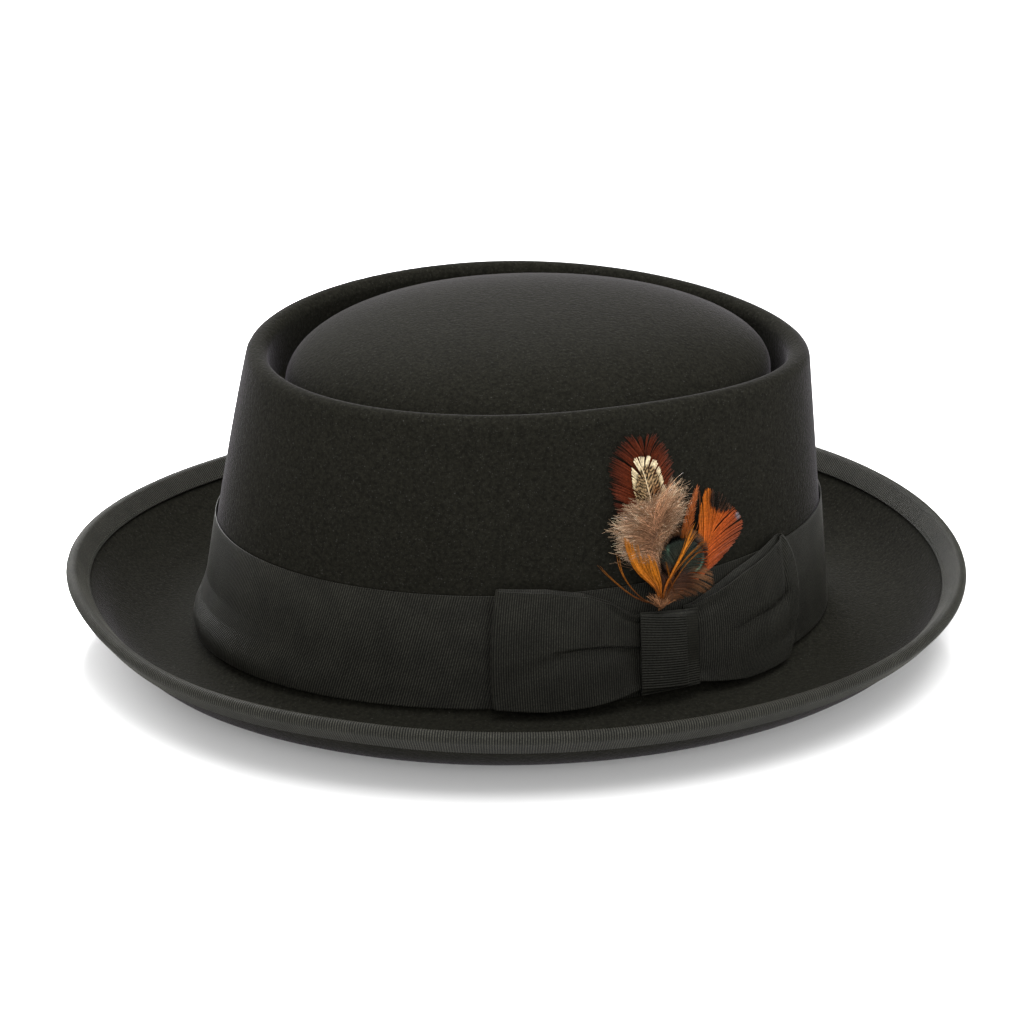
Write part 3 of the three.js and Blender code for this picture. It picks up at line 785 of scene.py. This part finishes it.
def fade(at, marks, colours):
    """Colours at values in at, between the colours that stand at the marks."""
    lights = np.array([linear(c) for c in colours])
    return np.stack([np.interp(at, marks, lights[:, i]) for i in range(3)], -1)


def vary(count, amount):
    """How bright each strand is, round 1."""
    return 1 + rng.normal(0, amount, count)[:, None, None]


def lifted(low, spread, count):
    """How far off the felt each strand lies."""
    return low + rng.uniform(0, spread, count)[:, None]


def taper(steps, tip=0.3):
    """A strand's width along it, as a share of its width at the root."""
    return mix(1, tip, shares(steps) ** 2)


def spot(paths, x, y, wide, high):
    """How far inside an oval the points lie: 1 in its middle, 0 at its edge, less outside."""
    return 1 - np.hypot((paths[..., 0] - x) / wide, (paths[..., 1] - y) / high)


def feather_material(name, roughness, sheen, specular):
    s = Shader(name)
    colour = s.add("Attribute", attribute_name="shade").outputs["Color"]
    fleck = s.ramp(s.noise(1500, 2), 0.3, 0.7, grey(0.68), grey(1.3))
    colour = s.mix(1.0, colour, fleck, "MULTIPLY")
    return s.finish(
        Base_Color=colour, Roughness=roughness, Specular_IOR_Level=specular,
        Sheen_Weight=sheen, Sheen_Roughness=0.3, Sheen_Tint=(1, 0.9, 0.8, 1),
    )


SOFT_FEATHER = feather_material("soft_feather", 0.7, 0.03, 0.08)
SLEEK_FEATHER = feather_material("sleek_feather", 0.5, 0.0, 0.06)
SHOT_FEATHER = feather_material("shot_feather", 0.38, 0.0, 0.12)


def russet():
    plume = Plume()
    shaft = [(0, -1.5), (-1, 12), (-2.6, 30), (-4.4, 46), (-4.7, 51.5)]
    left = [
        (-12.9, 29.5), (-14.6, 33.6), (-15.5, 39.6), (-15.8, 43.9), (-14.7, 48.2), (-12.2, 51.8),
        (-9.7, 54), (-7.2, 55), (-5.7, 54.2)]
    right = [
        (4, 35), (4.4, 38.8), (4.6, 41.7), (4.2, 45.3), (3.3, 48.9), (1.8, 52.2), (-0.7, 54.7),
        (-3.4, 55.2)]
    t = shares(8)
    left_splits = [
        (0.07, 0.02), (0.16, 0.045), (0.3, 0.02), (0.36, 0.04), (0.5, 0.02), (0.62, 0.05), (0.68, 0.015),
        (0.83, 0.02), (0.93, 0.06)]
    right_splits = [
        (0.12, 0.02), (0.27, 0.03), (0.38, 0.02), (0.55, 0.03), (0.7, 0.02), (0.83, 0.09), (0.94, 0.06)]
    for side, splits, count, root, curve in (
            (left, left_splits, 210, (0.46, 0.95), 0.16), (right, right_splits, 170, (0.34, 0.93), 0.3)):
        paths = barbs(shaft, side, count, root, curve, splits, 0.3, 8)
        paths = paths[:, :1] + (paths - paths[:, :1]) * rng.uniform(0.88, 1.03, (count, 1, 1))
        x, y = paths[..., 0], paths[..., 1]
        colour = fade(t, [0, 0.4, 0.8, 1], [(44, 18, 8), (84, 34, 15), (84, 36, 20), (62, 30, 20)])
        warm = np.exp(-((x + 13) / 4) ** 2 - ((y - 35) / 4.5) ** 2) + smooth(-1, 3, x) * smooth(53, 46, y)
        colour = colour * (0.85 + 0.6 * warm[..., None]) * vary(count, 0.24)
        plume.add(paths, lifted(2.0, 0.45, count) + t * 0.3, 0.36 * taper(8), colour)
    plume.make("russet", SLEEK_FEATHER)


def cream():
    plume = Plume()
    shaft = [(0, -1.5), (-0.4, 14), (-2.1, 31.6), (-3.2, 36.7), (-4.3, 41), (-5.5, 44.3)]
    left = [
        (-5.4, 28.5), (-6.1, 31.6), (-6.8, 33.8), (-7.9, 36.7), (-8.6, 40.3), (-8.7, 44.4), (-7.9, 46.8),
        (-6.6, 47.9), (-5.3, 47.4)]
    right = [
        (2.2, 34), (1.9, 37.8), (1.2, 40.3), (0.5, 43.2), (-0.6, 46), (-2.1, 47.4), (-3.6, 47.9),
        (-5, 47.5)]
    left_splits = [(0.2, 0.05), (0.42, 0.05), (0.62, 0.03), (0.78, 0.07), (0.92, 0.05)]
    right_splits = [(0.1, 0.04), (0.3, 0.06), (0.5, 0.05), (0.66, 0.06), (0.82, 0.08), (0.93, 0.05)]
    for side, splits, count, root in (
            (left, left_splits, 110, (0.46, 0.96)), (right, right_splits, 120, (0.5, 0.96))):
        paths = barbs(shaft, side, count, root, 0.22, splits, 0.14, 16)
        x, y = paths[..., 0], paths[..., 1]
        ripple = np.sin(6 * y + 2.2 * np.sin(1.9 * x + 0.6 * y)) + 0.8 * np.sin(6 * x - 2.6 * y)
        ink = smooth(-0.5, 0.1, ripple)[..., None]
        brown = fade(smooth(-1.5, 1.5, x + 2.2) * smooth(41, 36, y), [0, 1], [(176, 146, 106), (132, 80, 42)])
        inner = mix(brown, linear((30, 20, 13)), ink)
        pale = fade(y, [28, 34, 40, 48], [(106, 78, 50), (168, 142, 102), (214, 196, 158), (224, 208, 174)])
        middle = smooth(-0.04, 0.1, spot(paths, -3.4, 37.6, 4.2, 7.8))[..., None]
        colour = mix(pale, inner, middle) * vary(count, 0.09)
        plume.add(paths, lifted(3.3, 0.35, count), 0.34 * taper(16, 0.45), colour)
    line = along_line(shaft, shares(24))[None]
    lift = np.interp(line[..., 1], [24, 30, 34, 40], [3.6, 5.8, 5.2, 4.2])
    quill = fade(line[..., 1], [20, 32, 44], [(130, 98, 68), (196, 168, 132), (214, 196, 160)])
    plume.add(line, lift, 0.46 * taper(24, 0.5), quill)
    plume.make("cream", SLEEK_FEATHER)


def down():
    """The downy feather: tufts of strands round a hidden shaft."""
    plume = Plume()
    shaft = [(-0.8, 9), (-1.2, 15), (-0.8, 22.3), (-0.4, 29)]
    left = [
        (-1.6, 13), (-4.6, 15), (-7.5, 15.9), (-11, 15.5), (-14, 17.7), (-15.8, 18.4), (-15.8, 22.3),
        (-17.4, 23.1), (-16.3, 24.4), (-15.9, 25.8), (-13.5, 27.6), (-13.5, 29.6), (-11.3, 30.4),
        (-9.6, 32.9), (-6.4, 32.2), (-4.6, 33.6), (-1.8, 35.2)]
    right = [
        (-0.8, 13), (0.4, 16), (1, 19.8), (2.4, 23.7), (5.4, 26.6), (7.4, 29.3), (8.8, 31.6), (9.8, 34.3),
        (9.4, 36.7), (8.2, 39.3), (6.3, 40.6), (3.9, 38.2), (2.8, 36.9), (1, 35.6), (-0.6, 35.2)]
    steps = 6
    t = shares(steps)
    taupe = fade(t, [0, 0.5, 0.85, 1], [(150, 108, 80), (136, 98, 71), (148, 112, 84), (206, 176, 146)])
    for side, tufts, low in ((left, 110, 0.12), (right, 90, 0.45)):
        for place in (np.arange(tufts) + rng.random(tufts)) / tufts:
            count = rng.integers(18, 31)
            reach = rng.uniform(0.5, 1.06) * rng.uniform(0.75, 1.04, (count, 1))
            start = along_line(shaft, np.clip(mix(low, 1, place) + rng.normal(0, 0.08, count), 0, 1))
            start = start + rng.normal(0, 0.8, (count, 2))
            target = along_line(side, np.array([place])) + rng.normal(0, 1.3, (count, 2))
            end = start + (target - start) * reach
            across = (end - start)[:, ::-1] * [1, -1]
            sideways = rng.normal(0, 0.2) + rng.normal(0, 0.08, (count, 1))
            bend = mix(start, end, 0.5) + across * sideways + [0, 1.4]
            wave = np.sin(t * rng.uniform(5, 12, (count, 1)) + rng.uniform(0, 6, (count, 1)))
            wave = wave[..., None] * rng.normal(0, 0.12, (count, 1, 2)) * t[:, None]
            paths = curves(start, bend, end, steps) + wave
            bright = np.where(rng.random(count) < 0.15, 1.7, 0.95)[:, None, None]
            colour = taupe * bright * rng.uniform(0.35, 1.35) * vary(count, 0.25)
            lift = lifted(4.2 + rng.uniform(0, 1.9), 0.6, count) + t * rng.normal(0.3, 0.5, (count, 1))
            plume.add(paths, lift, 0.12 * taper(steps, 0.4), np.minimum(colour, 0.85))
    plume.make("down", SOFT_FEATHER)


def orange_spike():
    plume = Plume()
    shaft = [(0.5, -1), (5.5, 12), (7.7, 20.5), (9.2, 25.8), (11.3, 32.9), (12.3, 38.4)]
    left = [(6.2, 15), (7, 21.5), (7.7, 27.3), (9.2, 32.3), (11.2, 36.9), (12.4, 39.1)]
    right = [(9.4, 17), (10.6, 24.1), (11.4, 29.3), (12.1, 33.6), (12.8, 36.6), (12.8, 38.9)]
    for side, count, tone in ((left, 90, 0.95), (right, 60, 0.8)):
        paths = barbs(shaft, side, count, (0.3, 0.97), 0.25, (), 0.12, 7)
        tones = [(84, 44, 16), (112, 60, 22), (146, 76, 34), (150, 84, 48)]
        colour = fade(paths[..., 1], [14, 22, 30, 39], tones) * tone
        plume.add(paths, lifted(4.4, 0.4, count), 0.3 * taper(7), colour * vary(count, 0.2))
    fine = [(12, 24.7), (12.8, 27.6), (13.1, 31.1), (13, 36.8)]
    plume.add(along_line(fine, shares(10))[None], 2.6, 0.22 * taper(10), linear((150, 84, 42)))
    plume.make("orange_spike", SLEEK_FEATHER)


def orange_fan():
    plume = Plume()
    shaft = [(1, -1), (7.5, 5.5), (12.4, 10.8), (14.6, 16), (16.4, 22), (17.8, 27)]
    left = [
        (12.2, 17), (12.9, 20), (13.1, 23.5), (13.1, 28.7), (13.6, 33), (14.6, 36.4), (15.6, 38),
        (16.3, 37.2), (17.7, 36.8), (19.9, 36.1), (21.7, 34.2), (23, 32), (23.8, 31)]
    right = [
        (13.6, 9.6), (14.6, 10.8), (15.8, 12), (18, 13.8), (20.4, 16.3), (22.6, 18.9), (24.3, 21.4),
        (25.8, 23.6), (26.7, 25.9), (26.2, 28.2), (25.3, 29.8), (24, 30.9)]
    left_splits = [(0.13, 0.03), (0.3, 0.02), (0.52, 0.035), (0.7, 0.02), (0.84, 0.02)]
    right_splits = [
        (0.09, 0.04), (0.2, 0.03), (0.32, 0.04), (0.48, 0.03), (0.6, 0.03), (0.72, 0.03), (0.86, 0.03)]
    t = shares(16)
    for side, splits, count, root in (
            (left, left_splits, 240, (0.2, 0.92)), (right, right_splits, 280, (0.08, 0.86))):
        paths = barbs(shaft, side, count, root, 0.12, splits, 0.2, 16)
        x, y = paths[..., 0], paths[..., 1]
        share = shares(count)[:, None]
        colour = fade(x + 0.5 * (30 - y), [12, 17, 22, 28, 33],
                      [(176, 94, 26), (172, 86, 28), (158, 72, 28), (126, 60, 34), (84, 44, 30)])
        if side is right:
            streak = (rng.random((count, 1)) < 0.3) * smooth(0.35, 0.7, t) * smooth(0.9, 0.5, share)
            colour = mix(colour, linear((176, 104, 80)), (streak * 0.55)[..., None])
            # Painted sheen: a small bluish spot on the right vane's tips
            blue_sheen = smooth(0.0, 0.5, spot(paths, 25.1, 29.0, 1.1, 1.6))[..., None]
            colour = mix(colour, linear((96, 108, 116)), blue_sheen * 0.8)
        scallop = 0.08 * np.sin(x * 4.2) + 0.05 * np.sin(x * 9 + y * 3)
        soot = smooth(0.0, 0.06, spot(paths, 20.2, 34.6, 4.9, 4.6) + scallop)
        soot = soot * smooth(15.8, 16.6, x - 0.2 * (y - 34))
        ticks = smooth(0.35, 0.9, np.sin(5.2 * (x * 0.75 + y)))[..., None]
        edge = smooth(20.5, 23, x)[..., None]
        black = mix(linear((20, 15, 11)), linear((112, 74, 54)), ticks * (0.25 + 0.6 * edge))
        colour = mix(colour, black, soot[..., None])
        lift = lifted(2.0, 0.5, count) + 0.5 * t
        plume.add(paths, lift, 0.33 * taper(16, 0.35), colour * vary(count, 0.2))
    plume.make("orange_fan", SLEEK_FEATHER)


def green_vanes(plume):
    shaft = [(1, -1), (3, 4.5), (5.3, 9), (7.6, 14.5), (8.6, 20)]
    left = [
        (0.6, 7), (-0.1, 10), (-0.4, 14.1), (0.2, 17.6), (1.1, 20.8), (1.9, 23.2), (3.8, 24.5), (6.5, 25.2),
        (8.6, 25.2)]
    right = [
        (4.6, 1.6), (8.7, 3), (13, 4.1), (16.2, 5.2), (17.6, 7.4), (17.3, 10.2), (15.2, 12), (14.8, 13.4),
        (15.4, 15.4), (15.9, 18.3), (14.6, 21.5), (12.3, 23.9), (9.4, 25.2)]
    right_splits = [
        (0.06, 0.02), (0.12, 0.03), (0.18, 0.02), (0.25, 0.03), (0.32, 0.02), (0.38, 0.03), (0.45, 0.03),
        (0.7, 0.02), (0.8, 0.025), (0.9, 0.02)]
    t = shares(16)
    for side, splits, count in ((left, (), 190), (right, right_splits, 330)):
        paths = barbs(shaft, side, count, (0.1, 0.97), 0.3, splits, 0.25, 16)
        x, y = paths[..., 0], paths[..., 1]
        disc = spot(paths, 7.4, 15.6, 7.1, 6.0)
        leaf = fade(disc, [0, 0.25, 0.7], [(22, 29, 24), (33, 40, 33), (42, 43, 34)])
        maroon = fade(y, [2, 6, 11], [(92, 60, 38), (60, 36, 22), (46, 27, 18)])
        colour = mix(maroon, leaf, smooth(10.5, 14.5, y + 0.25 * x - 1.5)[..., None])
        outside = smooth(0.04, -0.05, disc) * smooth(9, 13, y)
        rim = fade(disc, [-0.3, -0.12, 0], [(84, 56, 34), (26, 20, 14), (14, 13, 10)])
        colour = mix(colour, rim, outside[..., None])
        hair = smooth(13.5, 11.5, y) * smooth(9, 15, x)
        colour = mix(colour, linear((112, 76, 48)), hair[..., None] * 0.85)
        glint = 0.6 * np.exp(-((x - 2.9) / 0.3) ** 2) * np.exp(-((y - 18.2) / 1.3) ** 2)
        rim_light = smooth(11, 12.5, x) * smooth(8.5, 10, y) * smooth(17, 14, y)
        glint += np.exp(-((disc - 0.06) / 0.035) ** 2) * rim_light
        colour = mix(colour, linear((96, 128, 108)), np.minimum(glint, 0.7)[..., None]) * vary(count, 0.16)
        lift = lifted(6.0, 0.5, count) + 0.6 * np.sin(math.pi * t)
        lift = mix(lift, 3.2, outside)
        lift = mix(4.2, lift, smooth(0, 0.25, (y + 1) / 20))
        plume.add(paths, lift, 0.3 * taper(16) * mix(1, 0.6, hair), colour)


def quill_tuft(plume, count=120, steps=8):
    """Short strands round the quills at the bunch's foot."""
    line = [(-4.9, 2.2), (-3.4, 4.4), (-0.6, 5.4), (2.2, 4.8), (4.6, 3.2), (6.4, 2.2)]
    tips = along_line(line, rng.random(count))
    foot = np.array([0.5, -0.4]) + rng.normal(0, 0.3, (count, 2))
    end = foot + (tips - foot) * rng.uniform(0.25, 1.0, (count, 1))
    bend = mix(foot, tips, 0.5) + rng.normal(0, 0.4, (count, 2))
    paths = curves(foot, bend, end, steps)
    colour = fade(shares(steps), [0, 0.5, 1], [(104, 70, 46), (126, 86, 58), (160, 116, 82)])
    colour = colour * vary(count, 0.35)
    plume.add(paths, lifted(5.6, 1.6, count), 0.16 * taper(steps, 0.4), colour)


def green():
    plume = Plume()
    green_vanes(plume)
    quill_tuft(plume)
    plume.make("green", SHOT_FEATHER)


# Gold wisps: marks from tip to foot, how many strands, their spread at the tip, width and brightness
LEFT_FRONDS = [
    ([(-10.8, 22.1), (-9.9, 18), (-8.3, 14), (-6, 10.6), (-2.9, 7.8), (-0.4, 4.9),
      (0.3, 0.4)], 16, 0.5, 0.32, 0.85),
    ([(-9.8, 20.8), (-8.7, 17), (-6.7, 12.7), (-3.9, 9.5), (-0.7, 6), (0.4, 0.4)], 14, 0.55, 0.32, 0.85),
    ([(-7.6, 20), (-6.7, 17), (-5, 12.7), (-2.5, 9.2), (0, 5.7), (0.5, 0.4)], 8, 0.35, 0.3, 0.9),
    ([(-4.5, 16.4), (-3.9, 13.1), (-2.5, 9.5), (-0.4, 6.4), (0.6, 0.4)], 18, 0.5, 0.36, 1.1),
    ([(-3.4, 16.4), (-2.3, 13.1), (-0.7, 9.5), (0.5, 6.4), (0.7, 0.4)], 18, 0.5, 0.36, 1),
    ([(-2.3, 15.7), (-0.9, 12.7), (0.1, 9.2), (0.8, 6.4), (0.8, 0.4)], 14, 0.4, 0.32, 0.85),
    ([(-20.7, 14.1), (-18.1, 11.3), (-14.5, 8.1), (-11, 5.1), (-7.5, 2.8), (-4.3, 1.4),
      (-0.5, 0.4)], 2, 0.1, 0.18, 0.5),
    ([(-14.3, 17.7), (-13.5, 14.1), (-11.9, 10.4), (-9.8, 7.1), (-7.3, 4.2), (-4.3, 1.6),
      (-0.5, 0.3)], 2, 0.12, 0.2, 0.5),
    ([(-12.8, 17), (-12.7, 13.4), (-11.3, 9.9), (-9.2, 6.5), (-6.9, 3.9), (-3.5, 1.6),
      (0, 0.3)], 1, 0.2, 0.18, 0.4),
]
RIGHT_FRONDS = [
    ([(11.6, 26.7), (10.2, 23.5), (8.8, 19.4), (6.7, 15.2), (4.6, 11.3), (2.8, 7.8), (1.6, 4.6),
      (1, 0.4)], 11, 0.4, 0.28, 0.85),
    ([(12.2, 24.9), (10.4, 21.9), (8.4, 18.4), (6, 13.8), (3.9, 10.2), (1.9, 6.4),
      (1, 0.4)], 8, 0.35, 0.26, 0.75),
    ([(15.9, 22.3), (12.3, 19.1), (8.8, 15.5), (5.4, 11.3), (3.1, 7.4), (1.4, 3.5),
      (1, 0.4)], 3, 0.2, 0.2, 0.5),
    ([(1.6, 15.7), (2.8, 11.3), (3.9, 7.4), (4.9, 4.6)], 2, 0.15, 0.22, 0.5),
    ([(15.6, 20.6), (11, 16.6), (7, 11.5), (3, 5), (0.9, 0.4)], 2, 0.15, 0.18, 0.45),
]


def fronds(name, rows, low):
    plume = Plume()
    t = shares(18)
    gold = fade(t, [0, 0.3, 0.75, 1], [(166, 102, 36), (186, 110, 28), (140, 76, 24), (96, 56, 28)])
    for marks, count, spread, width, bright in rows:
        line = along_line(marks, t)[None]
        apart = rng.normal(0, spread, (count, 1, 2)) * (1 - t[:, None]) ** 1.2
        path = line + apart + rng.normal(0, 0.12, (count, 1, 2))
        start = rng.uniform(0, 0.14, (count, 1, 1)) * (line[:, -1:] - line[:, :1])
        path = path + start * (1 - t[:, None]) ** 2
        lift = mix(4.4, lifted(low, 0.7, count), smooth(0, 0.2, path[..., 1] / 20))
        thin = width * np.interp(t, [0, 0.15, 0.6, 1], [0.25, 0.8, 1, 0.8])
        plume.add(path, lift, thin, gold * bright * vary(count, 0.22))
    plume.make(name, SLEEK_FEATHER)


# Floor, light and camera

FLOOR_HALF, FLOOR_GLOSS, FLOOR_GLOW = 6.0, 0.2, 0.16
WHITE = (1, 1, 1, 1)

# Each lamp: its place, the height at the hat's middle that it faces, its size in m and its watts
LAMPS = {
    "above": ((0.3, -0.1, 1.7), 0.05, (1.8, 1.4), 40),
    "right": ((1.5, -0.8, 0.5), 0.03, (0.7, 0.7), 1.5),
    "left": ((-1.6, 0.5, 0.7), 0.05, (0.6, 1.0), 2.5),
    "back": ((-0.25, 1.7, 0.75), 0.05, (1.6, 0.6), 47),
    "front": ((-0.3, -1.9, 0.9), 0.05, (1.2, 0.8), 9),
}


def look(way):
    return Vector(way).to_track_quat("-Z", "Y").to_euler()


def camera():
    data = bpy.data.cameras.new("camera")
    data.sensor_width = SENSOR
    data.lens = FOCAL / PICTURE * SENSOR
    data.shift_x = (PICTURE / 2 - CENTRE_X) / PICTURE
    data.shift_y = (CENTRE_Y - PICTURE / 2) / PICTURE
    data.clip_end = 50
    cam = add_object("camera", data)
    cam.location = (TARGET + TO_CAMERA * DISTANCE) * MM
    cam.rotation_euler = look(-TO_CAMERA)
    bpy.context.scene.camera = cam


def stage():
    mesh = bpy.data.meshes.new("floor")
    half = FLOOR_HALF
    corners = [(-half, -half, 0), (half, -half, 0), (half, half, 0), (-half, half, 0)]
    mesh.from_pydata(corners, [], [(0, 1, 2, 3)])
    floor = add_object("floor", mesh)
    s = Shader("floor")
    gloss = s.add("BsdfGlossy", {"Color": WHITE, "Roughness": 0.12})
    base = s.finish(Base_Color=(0.9, 0.9, 0.9, 1), Roughness=1.0, Specular_IOR_Level=0.0)
    both = s.add("MixShader", {0: FLOOR_GLOSS, 1: s.bsdf.outputs[0], 2: gloss.outputs[0]})
    glow = s.add("Emission", {"Color": WHITE, "Strength": FLOOR_GLOW})
    lit = s.add("AddShader", {0: both.outputs[0], 1: glow.outputs[0]})
    s.links.new(lit.outputs[0], s.out.inputs["Surface"])
    mesh.materials.append(base)
    world = bpy.data.worlds.new("world")
    bpy.context.scene.world = world
    world.use_nodes = True
    background = world.node_tree.nodes["Background"]
    background.inputs["Color"].default_value = WHITE
    background.inputs["Strength"].default_value = 1.0


def lamp(name, place, height, size, power):
    data = bpy.data.lights.new(name, "AREA")
    data.shape = "RECTANGLE"
    data.size, data.size_y = size
    data.energy = power
    light = add_object(name, data)
    light.location = place
    light.rotation_euler = look(np.array([0, 0, height]) - np.array(place))


camera()
stage()
for name, values in LAMPS.items():
    lamp(name, *values)
bpy.context.scene.view_settings.view_transform = "Standard"

felt_body()
hat_band()
brim_binding()
for node, loop in LOOPS.items():
    bow_loop(node, **loop)
bow_knot()

russet()
cream()
down()
orange_spike()
orange_fan()
green()
fronds("gold_left", LEFT_FRONDS, 6.6)
fronds("gold_right", RIGHT_FRONDS, 7.2)
